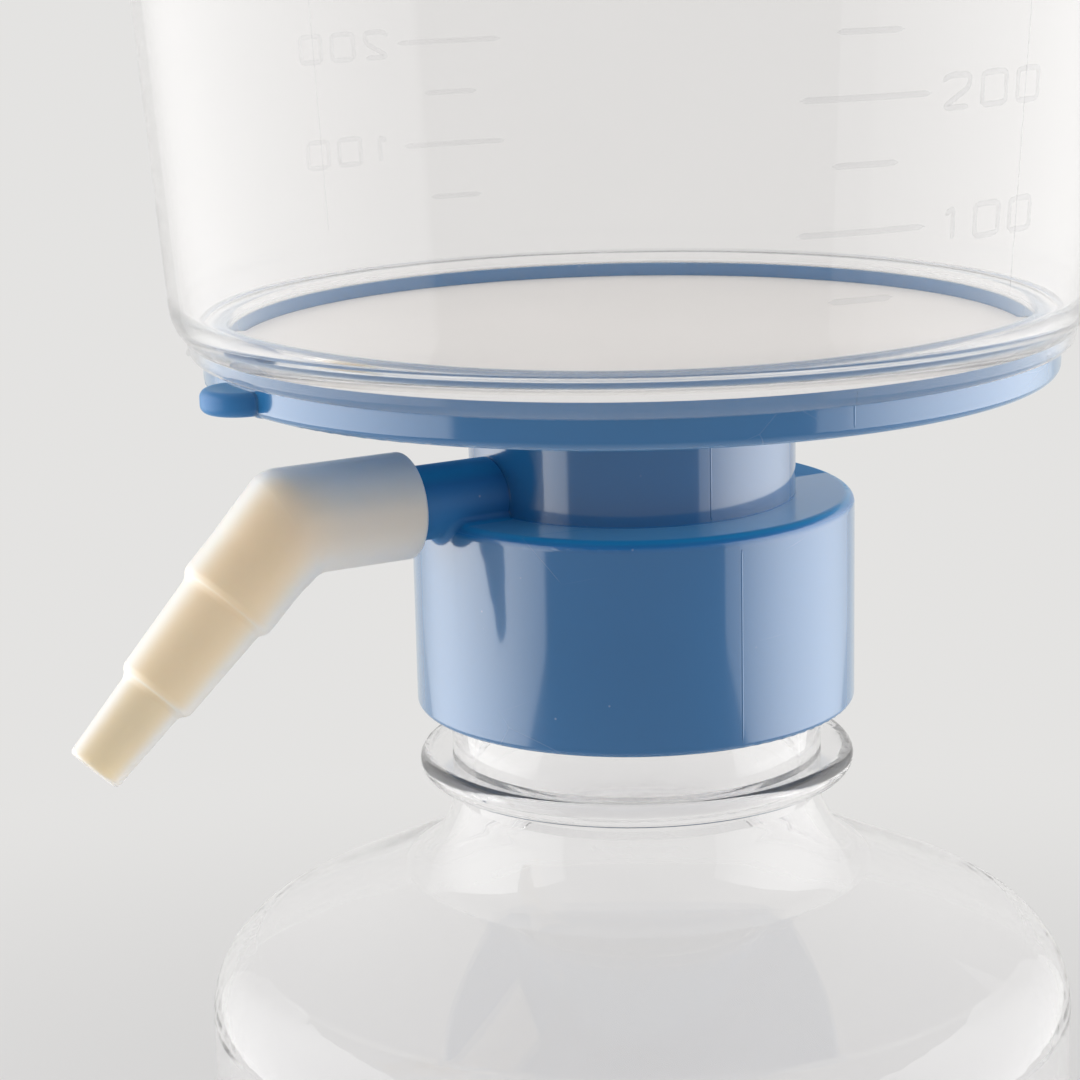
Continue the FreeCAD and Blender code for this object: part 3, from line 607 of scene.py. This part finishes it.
# Painted rim light by the Layer Weight node, laid over the cream's own drift.
facing = make(tree, "LayerWeight").outputs["Facing"]
body_with_painted_rim = blend(tree, ramp(tree, facing, RIM_LIGHT_START, RIM_LIGHT_END),
                    blend(tree, drift, CREAM, CREAM_WARM), PAINTED_RIM_LIGHT)
feed(tree, shader.inputs["Base Color"],
     blend(tree, calc(tree, "MULTIPLY", over_port, OVER_PORT_AND_PAINTED_LIGHT_SHARE), body_with_painted_rim, port_and_painted_light))

# %% [markdown]
# The graduation stands a tenth of a millimetre proud of the wall. Drawn as glass it would bend the
# wall's own light twice, so it is a thin, part-transparent ridge instead: pale, soft, and hardly
# there, as relief in clear plastic looks.

# %% Graduation relief
RELIEF, RELIEF_SHADE = (0.64, 0.64, 0.65), (0.58, 0.58, 0.59)

relief, tree, shader, _, drift = start_material(
    "clear_relief", wave_depth=0.0, grain_depth=2.0e-7, Roughness=0.45, Alpha=0.11)
feed(tree, shader.inputs["Base Color"], blend(tree, drift, RELIEF, RELIEF_SHADE))

# %% [markdown]
# ## Dress the solids
# Each solid keeps its shape and only gets its finish.

# %% Finishes on the solids
FINISHES = {"bottle": bottle_clear, "funnel": funnel_clear, "lid": funnel_clear, "filter_base": blue,
            "membrane": membrane_white, "neck_gasket": seal_white, "hose_adapter": cream}
for node_name, finish in FINISHES.items():
    nodes[node_name].data.materials.clear()
    nodes[node_name].data.materials.append(finish)
    print(f"{node_name:14s}{finish.name}")

# %% [markdown]
# ## Surfaces from grids
# Every new piece is a grid of points, worked out as whole arrays: rows along the piece and columns
# round it, with four-sided faces between. A grid may close on itself in either direction, and where
# a row shrinks to one point the doubles are merged, which closes the pole. Several grids can share
# one object.

# %% Grid to mesh
MERGE = 1e-7


def grid_faces(rows, columns, close_rows, close_columns, first):
    """Corner numbers of the faces between neighbouring points, counted from the first."""
    index = first + np.arange(rows * columns).reshape(rows, columns)
    if close_rows:
        index = np.vstack([index, index[:1]])
    if close_columns:
        index = np.hstack([index, index[:, :1]])
    corners = [index[:-1, :-1], index[1:, :-1], index[1:, 1:], index[:-1, 1:]]
    return np.stack(corners, axis=-1).reshape(-1, 4)


def piece(name, grids, material, body, close_rows=False, close_columns=True):
    """One object from a list of grids, each an array of rows, columns and coordinates."""
    points, faces, first = [], [], 0
    for grid in grids:
        faces.append(grid_faces(*grid.shape[:2], close_rows, close_columns, first))
        points.append(grid.reshape(-1, 3))
        first += len(points[-1])
    mesh = bpy.data.meshes.new(name)
    mesh.from_pydata(np.vstack(points).tolist(), [], np.vstack(faces).tolist())
    shape = bmesh.new()
    shape.from_mesh(mesh)
    bmesh.ops.remove_doubles(shape, verts=shape.verts, dist=MERGE)
    bmesh.ops.dissolve_degenerate(shape, edges=shape.edges, dist=MERGE)
    bmesh.ops.recalc_face_normals(shape, faces=shape.faces)
    shape.to_mesh(mesh)
    shape.free()
    mesh.shade_smooth()
    mesh.materials.append(material)
    made = bpy.data.objects.new(name, mesh)
    scene.collection.objects.link(made)
    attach(made, body)
    print(f"{name}: {len(mesh.polygons)} faces")
    return made


# %% [markdown]
# ## Elbow
# The real elbow is a hollow rubber moulding: a straight leg over the port, then a stepped nozzle
# turned 45 degrees, and where they meet the corner is soft, inside and outside. A swept tube would
# make a long, even bend, and a plain mitre a hard ridge. So each lengthwise line of the skin runs
# straight along the leg to the mitre, and straight on along the nozzle, and only the corner between
# the two is rounded, by its own amount. One grid makes the whole wall: out along the outside, over
# the tip, back through the channel and the socket.

# %% Elbow lines
ELBOW_TURN = math.radians(45.0)
HALF_TURN = ELBOW_TURN / 2
LEG_LENGTH = 13.8 * MM
OUTER_ROUND, INNER_ROUND = 4.0 * MM, 3.0 * MM
CORNER_REACH = 5.0 * MM

elbow_point = np.array([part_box("hose_adapter")[1][0] - LEG_LENGTH, *PORT_AXIS[1:]])
along_leg = np.array([-1.0, 0.0, 0.0])
along_nozzle = np.array([-math.cos(ELBOW_TURN), 0.0, -math.sin(ELBOW_TURN)])
sideways = np.array([0.0, 1.0, 0.0])
inward = (along_nozzle - along_leg) / np.linalg.norm(along_nozzle - along_leg)


def bent(station, radius, around):
    """A point at this station along the bent axis, this far from it and this far round: the corner
    of its line on the mitre plane, less its way along the leg, plus its way along the nozzle. Within
    the rounding the two ways are the squares of a share, which makes the corner a parabola."""
    inside = np.cos(around)
    corner = (elbow_point + (radius * inside / math.cos(HALF_TURN))[..., None] * inward
              + (radius * np.sin(around))[..., None] * sideways)
    rounding = OUTER_ROUND + (INNER_ROUND - OUTER_ROUND) * (inside + 1) / 2
    reach = rounding * math.tan(HALF_TURN)
    lean = radius * inside * math.tan(HALF_TURN)
    share = np.clip(station / CORNER_REACH, -1, 1)
    beyond = np.maximum(np.abs(station) - CORNER_REACH, 0)
    straight = reach + (2 * np.abs(share) - 1) * (CORNER_REACH - lean - reach) + beyond
    to_leg = np.where(share <= -0.5, straight, np.maximum(0.5 - share, 0) ** 2 * reach)
    to_nozzle = np.where(share >= 0.5, straight, np.maximum(0.5 + share, 0) ** 2 * reach)
    return corner - to_leg[..., None] * along_leg + to_nozzle[..., None] * along_nozzle


# %% [markdown]
# The wall's outline is a list of stations and radii in millimetres, as on a drawing. Straight
# stretches are divided finely enough for the bend, and each corner of the outline is rounded by
# cutting it three times, a smaller piece each time: every cut puts two points in a corner's place.

# %% Elbow skin
OUTLINE_MM = [
    (-13.8, 4.15), (-13.8, 5.86), (-5.0, 5.86), (2.5, 5.86), (5.5, 5.62), (10.9, 5.60),
    (11.5, 4.95), (22.8, 4.40), (23.4, 3.60), (33.2, 3.10), (33.2, 2.30), (-1.5, 2.30), (-1.5, 4.15)]
SIDE_STEP = 0.45 * MM
CORNER_CUT = 0.32 * MM
COLUMNS = 96


def cut_corners(line, cut):
    """A closed line whose corners are replaced by two points, this far along the sides."""
    before, after = np.roll(line, 1, axis=0) - line, np.roll(line, -1, axis=0) - line
    length_before = np.linalg.norm(before, axis=1, keepdims=True)
    length_after = np.linalg.norm(after, axis=1, keepdims=True)
    first = line + before / length_before * np.minimum(cut, length_before / 3)
    second = line + after / length_after * np.minimum(cut, length_after / 3)
    return np.stack([first, second], axis=1).reshape(-1, 2)


def divide(line, step):
    """The closed line with more points, so that no side is longer than the step."""
    parts = []
    for start, end in zip(line, np.roll(line, -1, axis=0)):
        count = max(1, int(np.ceil(np.linalg.norm(end - start) / step)))
        parts.append(start + (end - start) * (np.arange(count) / count)[:, None])
    return np.vstack(parts)


wall_line = np.array(OUTLINE_MM) * MM
for cut in (CORNER_CUT, CORNER_CUT / 3, CORNER_CUT / 8):
    wall_line = cut_corners(wall_line, cut)
wall_line = divide(wall_line, SIDE_STEP)
around = np.linspace(0, 2 * math.pi, COLUMNS, endpoint=False)
station, angle = np.meshgrid(wall_line[:, 0], around, indexing="ij")
radius = np.repeat(wall_line[:, 1:], COLUMNS, axis=1)

# %% [markdown]
# Rubber is let into its mould through a gate, and the stub that is torn off there leaves a shallow,
# uneven scar: on this elbow it sits on the inner side of the bend. It is a hump in the radius that
# falls off as a bell curve, with a dimple in the middle.

# %% Gate scar and elbow piece
SCAR_STATION, SCAR_ANGLE = -1.0 * MM, math.radians(-58)
SCAR_SIZE, SCAR_HEIGHT = 0.9 * MM, 0.10 * MM
DIMPLE_DEPTH, DIMPLE_TIGHTNESS = 0.9, 2.2
OUTSIDE_FROM = 5.0 * MM    # between the socket's radius and the leg's

turned = np.mod(angle - SCAR_ANGLE + math.pi, 2 * math.pi) - math.pi
from_scar = np.hypot(station - SCAR_STATION, radius * turned) / SCAR_SIZE
scar = np.exp(-from_scar ** 2) - DIMPLE_DEPTH * np.exp(-(DIMPLE_TIGHTNESS * from_scar) ** 2)
radius = radius + SCAR_HEIGHT * scar * (radius > OUTSIDE_FROM)
elbow = piece("elbow_skin", [bent(station, radius, angle)], cream, "hose_adapter",
              close_rows=True)
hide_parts("hose_adapter")

# %% [markdown]
# ## Beads on a wall
# The graduation, the digits and the parting lines are all the same thing on the real mouldings: a
# fine raised bead on a turned wall. A bead is a flattened tube along a route on that wall. Its
# section is an ellipse whose long axis lies in the wall, its lower half sinks in, and at each end it
# shrinks to a point. The wall's radius isn't written down again here: rays cast at the solid from
# outside measure it, so a bead can't float or drown.

# %% Bead
BEAD_COLUMNS = 10
RAY_START, PROBE_AZIMUTH = 0.2, 0.3


def outward_at(azimuth):
    """The level direction away from the axis, at one azimuth or at each of several: azimuth 0 faces
    -Y and grows towards +X."""
    return np.stack([np.sin(azimuth), -np.cos(azimuth), np.zeros_like(azimuth)], axis=-1)


def unit(rows):
    """Each row divided by its length."""
    return rows / np.linalg.norm(rows, axis=1, keepdims=True)


def walked(line):
    """How far along a line of points each of them lies."""
    return np.concatenate([[0], np.cumsum(np.linalg.norm(np.diff(line, axis=0), axis=1))])


def wall_radius(node, azimuth, heights):
    """Distance from the axis to the outside of a solid, at each height and one azimuth."""
    outward = Vector(outward_at(azimuth))
    found = []
    for height in heights:
        hit, spot, _, _ = nodes[node].ray_cast(RAY_START * outward + float(height) * up, -outward)
        found.append(math.hypot(spot.x, spot.y) if hit else np.nan)
    return np.array(found)


def bead(route, outward, width, height, run_out):
    """An elliptic tube along the route: a point is the route's, plus half the width times the
    cosine along the wall, plus the height times the sine outward; at the ends both shrink as a
    quarter circle over the length of the run-out."""
    across = unit(np.cross(unit(np.gradient(route, axis=0)), outward))
    from_start = walked(route)
    from_end = np.minimum(from_start, from_start[-1] - from_start)
    swell = np.sqrt(np.clip(1 - (1 - np.clip(from_end / run_out, 0, 1)) ** 2, 0, 1))[:, None, None]
    turn = np.linspace(0, 2 * math.pi, BEAD_COLUMNS, endpoint=False)[None, :, None]
    return (route[:, None, :] + swell * (width / 2 * np.cos(turn) * across[:, None, :]
                                         + height * np.sin(turn) * outward[:, None, :]))


def on_wall(radius, azimuth, height):
    """Points of a turned wall at these radii, azimuths and heights."""
    return np.stack([radius * np.sin(azimuth), -radius * np.cos(azimuth),
                     np.broadcast_to(height, np.shape(azimuth)) * np.ones_like(radius)], axis=-1)


# %% [markdown]
# ## Graduation of the funnel
# The scale shows how much liquid stands in the funnel. The wall widens upwards, so its lines draw
# closer together. A height follows from the volume of a cut cone: the cube of the radius there is
# the cube of the bottom radius plus three times the volume times the wall's slope, over pi. The
# inset from the outside is the wall plus a little for the rounding at the foot.

# %% Heights from volumes
ML = 1e-6
funnel_low, funnel_high = (np.array(corner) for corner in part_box("funnel"))
FUNNEL_FLOOR = funnel_low[2] + 4.3 * MM
FUNNEL_INSET = 2.2 * MM
probe = np.array([funnel_low[2] + 12 * MM, funnel_high[2] - 12 * MM])
outer = wall_radius("funnel", PROBE_AZIMUTH, probe)
slope = (outer[1] - outer[0]) / (probe[1] - probe[0])
print("funnel wall: radius", np.round(outer / MM, 2), "mm, slope", round(slope, 4))


def funnel_radius(height):
    """Outside radius of the funnel's straight wall at a height."""
    return outer[0] + slope * (height - probe[0])


def funnel_height(volume):
    """Height at which this volume stands in the funnel."""
    bottom = funnel_radius(FUNNEL_FLOOR) - FUNNEL_INSET
    radius = (bottom ** 3 + 3 * volume * slope / math.pi) ** (1 / 3)
    return FUNNEL_FLOOR + (radius - bottom) / slope


print("100 ml at", round(funnel_height(100 * ML) / MM, 1), "mm, 1000 ml at",
      round(funnel_height(1000 * ML) / MM, 1), "mm")

# %% [markdown]
# ## Digits
# The numbers are cut into the mould with a round cutter, in squarish strokes. A font would bring its
# own style and filled shapes, so each digit is a route in a field one unit wide and two high. Its
# corners are cut in the same way as the elbow's outline, and it becomes a bead like the lines.
# Numbers read upright from outside.

# %% Digit strokes
DIGITS = {
    "0": [(0, 0), (1, 0), (1, 2), (0, 2), (0, 0)], "1": [(0.35, 1.55), (0.65, 2), (0.65, 0)],
    "2": [(0, 1.6), (0.15, 2), (1, 2), (1, 1.2), (0, 0), (1, 0)],
    "3": [(0, 2), (1, 2), (0.45, 1.15), (1, 0.95), (1, 0), (0, 0)],
    "4": [(0.8, 0), (0.8, 2), (0, 0.6), (1.05, 0.6)],
    "5": [(1, 2), (0, 2), (0, 1.1), (1, 1.1), (1, 0), (0, 0)],
    "6": [(0.9, 2), (0, 1.2), (0, 0), (1, 0), (1, 1.1), (0.05, 1.1)],
    "7": [(0, 2), (1, 2), (0.35, 0)],
    "8": [(0.5, 1.05), (0, 1.05), (0, 0), (1, 0), (1, 1.05), (0.1, 1.05), (0.1, 2), (0.9, 2), (0.9, 1.05)],
    "9": [(0.1, 0), (1, 0.8), (1, 2), (0, 2), (0, 0.95), (0.95, 0.95)]}
STROKE_STEP = 0.12
FIRST_CUT, SECOND_CUT = 0.16, 0.05


def soften(line, cut):
    """An open line whose inner corners are replaced by two points, this far along the sides."""
    inner = line[1:-1]
    back, ahead = unit(line[:-2] - inner), unit(line[2:] - inner)
    pairs = np.stack([inner + cut * back, inner + cut * ahead], axis=1).reshape(-1, 2)
    return np.vstack([line[:1], pairs, line[-1:]])


def stroke(digit):
    """The digit's route in its field, one unit wide and two high, in even steps."""
    line = soften(soften(np.array(DIGITS[digit], dtype=float), FIRST_CUT), SECOND_CUT)
    from_start = walked(line)
    steps = np.linspace(0, from_start[-1], int(from_start[-1] / STROKE_STEP) + 2)
    return np.stack([np.interp(steps, from_start, line[:, i]) for i in (0, 1)], axis=-1)


# %% Lines and numbers
LINE_WIDTH, LINE_HEIGHT, LINE_STEP = 0.60 * MM, 0.11 * MM, 0.9 * MM
DIGIT_TALL, DIGIT_WIDE, DIGIT_PITCH = 3.1 * MM, 3.4 * MM, 5.2 * MM
FAR_SIDE = math.pi
SCALE_MIDDLE = math.radians(-5.6)
LONG_LINE, SHORT_LINE, NUMBER_START = (math.radians(a) for a in (7.8, 4.0, 9.2))


def ring_line(radius_at, height, start, end):
    """A level bead on a turned wall from one azimuth to another."""
    radius = radius_at(height)
    count = int(abs(end - start) * radius / LINE_STEP) + 4
    azimuth = np.linspace(start, end, count)
    route = on_wall(np.full(count, radius), azimuth, height)
    return bead(route, outward_at(azimuth), LINE_WIDTH, LINE_HEIGHT, LINE_WIDTH)


def number(radius_at, text, height, start):
    """The beads of a number about a height, whose first digit's left edge is at an azimuth."""
    beads = []
    for place, digit in enumerate(text):
        line = stroke(digit)
        high = height + (line[:, 1] - 1) / 2 * DIGIT_TALL
        radius = radius_at(high)
        azimuth = start + (place * DIGIT_PITCH + line[:, 0] * DIGIT_WIDE) / radius
        route = on_wall(radius, azimuth, high)
        beads.append(bead(route, outward_at(azimuth), LINE_WIDTH, LINE_HEIGHT, LINE_WIDTH / 2))
    return beads


def scale(radius_at, height_of, volumes, middles):
    """A scale about each middle: a long line with its number at each full hundred, a short one
    halfway between."""
    beads = []
    for middle in middles:
        for volume in volumes:
            height = height_of(volume * ML)
            half = SHORT_LINE if volume % 100 else LONG_LINE
            beads.append(ring_line(radius_at, height, middle - half, middle + half))
            if volume % 100 == 0:
                beads += number(radius_at, str(volume), height, middle + NUMBER_START)
    return beads


piece("funnel_graduation",
      scale(funnel_radius, funnel_height, range(50, 951, 50), (SCALE_MIDDLE, SCALE_MIDDLE + FAR_SIDE)),
      relief, "filter_top")

# %% [markdown]
# ## Graduation of the bottle
# The bottle carries a coarser scale, so that one sees how much has been filtered. Its inside is a
# plain cylinder, and the height is the volume over its area.

# %% Bottle scale
BOTTLE_FLOOR, BOTTLE_WALL = 4.0 * MM, 1.6 * MM
SIDE_HEIGHT = 60.0 * MM    # somewhere on the straight side
side_radius = float(wall_radius("bottle", PROBE_AZIMUTH, [SIDE_HEIGHT])[0])


def bottle_radius(height):
    """Outside radius of the bottle's straight side, the same at every height."""
    return side_radius + 0 * height


def bottle_height(volume):
    """Height at which this volume stands in the bottle."""
    return BOTTLE_FLOOR + volume / (math.pi * (side_radius - BOTTLE_WALL) ** 2)


piece("bottle_graduation",
      scale(bottle_radius, bottle_height, range(100, 851, 50), (SCALE_MIDDLE,)),
      relief, "bottle")

# %% [markdown]
# ## Parting lines
# Where the two halves of a mould meet they leave a hair-thin ridge down both sides of the moulding.
# It follows the wall's whole profile, over every rounding, so its route is measured point by point
# with the same rays, and its outward direction is square to the measured profile.

# %% Parting lines
PARTING_STEP, PARTING_RUN_OUT = 0.5 * MM, 1.0 * MM
BLUE_LINE, FUNNEL_LINE = math.radians(-3.7), math.radians(16.3)
BLUE_RIDGE, FUNNEL_RIDGE = (0.22 * MM, 0.045 * MM), (0.16 * MM, 0.03 * MM)    # width and height


def parting(node, azimuth, low, high, width, height):
    """A bead that follows a solid's profile at one azimuth between two heights."""
    heights = np.arange(low, high, PARTING_STEP)
    radius = wall_radius(node, azimuth, heights)
    tangent = unit(np.stack([np.gradient(radius), np.gradient(heights)], axis=-1))
    route = on_wall(radius, np.full(len(heights), azimuth), heights)
    outward = tangent[:, 1:] * outward_at(azimuth) - tangent[:, :1] * np.array(up)
    return bead(route, outward, width, height, PARTING_RUN_OUT)


base_low, base_high = (np.array(corner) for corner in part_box("filter_base"))
COLLAR_SPAN = (base_low[2] + 0.7 * MM, base_low[2] + 22.4 * MM)
HUB_SPAN = (base_low[2] + 23.8 * MM, base_high[2] - 5.4 * MM)
RIM_SPAN = (base_high[2] - 4.4 * MM, base_high[2] - 0.3 * MM)
blue_lines = [parting("filter_base", BLUE_LINE + side, *span, *BLUE_RIDGE)
              for side in (0, FAR_SIDE) for span in (COLLAR_SPAN, HUB_SPAN, RIM_SPAN)]
piece("base_parting_lines", blue_lines, blue, "filter_top")
FUNNEL_SPAN = (funnel_low[2] + 8 * MM, funnel_high[2] - 3.5 * MM)
piece("funnel_parting_lines",
      [parting("funnel", FUNNEL_LINE + side, *FUNNEL_SPAN, *FUNNEL_RIDGE) for side in (0, FAR_SIDE)],
      relief, "filter_top")

# %% [markdown]
# ## Nibs
# The funnel's ring was let in through three gates at the lower edge of its skirt. What is left of
# each is a nib smaller than a grain of rice: a squashed ball, whose inner half is in the wall.

# %% Skirt nibs
NIB_AZIMUTHS = [math.radians(a) for a in (-109, 31, 151)]
NIB_SIZE = np.array([0.55, 0.35, 0.40]) * MM
NIB_ROWS, NIB_COLUMNS = 9, 16
NIB_HEIGHT = funnel_low[2] + 0.9 * MM


def nib(azimuth, radius, height):
    """A ball about a point of the wall, squashed to its three sizes along it, outward and upward."""
    lat, lon = np.meshgrid(np.linspace(0, math.pi, NIB_ROWS),
                           np.linspace(0, 2 * math.pi, NIB_COLUMNS, endpoint=False), indexing="ij")
    outward, upward = outward_at(azimuth), np.array(up)
    along = np.cross(upward, outward)
    return (radius * outward + height * upward
            + NIB_SIZE[0] * (np.sin(lat) * np.cos(lon))[..., None] * along
            + NIB_SIZE[1] * (np.sin(lat) * np.sin(lon))[..., None] * outward
            + NIB_SIZE[2] * np.cos(lat)[..., None] * upward)


nib_radius = wall_radius("funnel", NIB_AZIMUTHS[0], [NIB_HEIGHT])[0]
piece("skirt_nibs", [nib(azimuth, nib_radius, NIB_HEIGHT) for azimuth in NIB_AZIMUTHS],
      relief, "filter_top")

# %% [markdown]
# ## Turned shells and films of air
# Clear plastic shows every unevenness of a mesh, because light bends at both its faces. The funnel
# and the lid are turned bodies, so each is made once more as a smooth one: the solid's own outline,
# found by cutting its mesh along a half plane, is turned about the axis in many even steps.
# The funnel stands on the base and the lid on the funnel, face on face. Real faces never touch all
# over: a film of air stays between them, and it is what makes the blue shine up into the clear foot.
# Where two faces lie exactly in one plane, a ray that leaves the clear one starts inside the blue
# one and stays dark. So the touching face of each shell is drawn back by a few hundredths of a
# millimetre.

# %% Turned shells
AIR_FILM, SAME_PLANE = 0.04 * MM, 0.02 * MM
TURNS = 256
SHARP = math.radians(30)


def outline_of(node):
    """The radii and heights of a turned solid's outline in order, and whether it closes. Its merged
    triangles are cut at y = 0, and the cut is walked from edge to edge on the +X side; an outline
    that reaches the axis gets an end point there at both ends."""
    shape = bmesh.new()
    shape.from_mesh(nodes[node].data)
    bmesh.ops.remove_doubles(shape, verts=shape.verts, dist=MERGE)
    cut = bmesh.ops.bisect_plane(shape, geom=[*shape.verts, *shape.edges, *shape.faces], dist=MERGE,
                                 plane_co=(0, 0, 0), plane_no=(0, 1, 0))["geom_cut"]
    beside = {}
    for edge in cut:
        if isinstance(edge, bmesh.types.BMEdge) and min(vertex.co.x for vertex in edge.verts) > 0:
            for vertex in edge.verts:
                beside.setdefault(vertex, []).append(edge.other_vert(vertex))
    ends = [vertex for vertex in beside if len(beside[vertex]) == 1]
    walk, ahead = [], ends[0] if ends else next(iter(beside))
    while ahead is not None:
        walk.append(ahead)
        ahead = next((vertex for vertex in beside[ahead] if vertex not in walk), None)
    line = np.array([(vertex.co.x, vertex.co.z) for vertex in walk])
    shape.free()
    if ends:
        line = np.vstack([[0.0, line[0, 1]], line, [0.0, line[-1, 1]]])
    print(f"{node}: outline of {len(line)} points,", "open" if ends else "closed")
    return line, not ends


def turned_shell(name, node, height):
    """The solid's outline turned about the axis, its points at this height lifted by the film; it
    replaces the solid."""
    line, closed = outline_of(node)
    line[np.abs(line[:, 1] - height) < SAME_PLANE, 1] += AIR_FILM
    turn = np.tile(np.linspace(0, 2 * math.pi, TURNS, endpoint=False), (len(line), 1))
    grid = on_wall(line[:, :1], turn, line[:, 1:])
    made = piece(name, [grid], nodes[node].data.materials[0], "filter_top", close_rows=closed)
    made.data.set_sharp_from_angle(angle=SHARP)
    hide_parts(node)


turned_shell("funnel_shell", "funnel", base_high[2])
turned_shell("lid_shell", "lid", funnel_high[2])
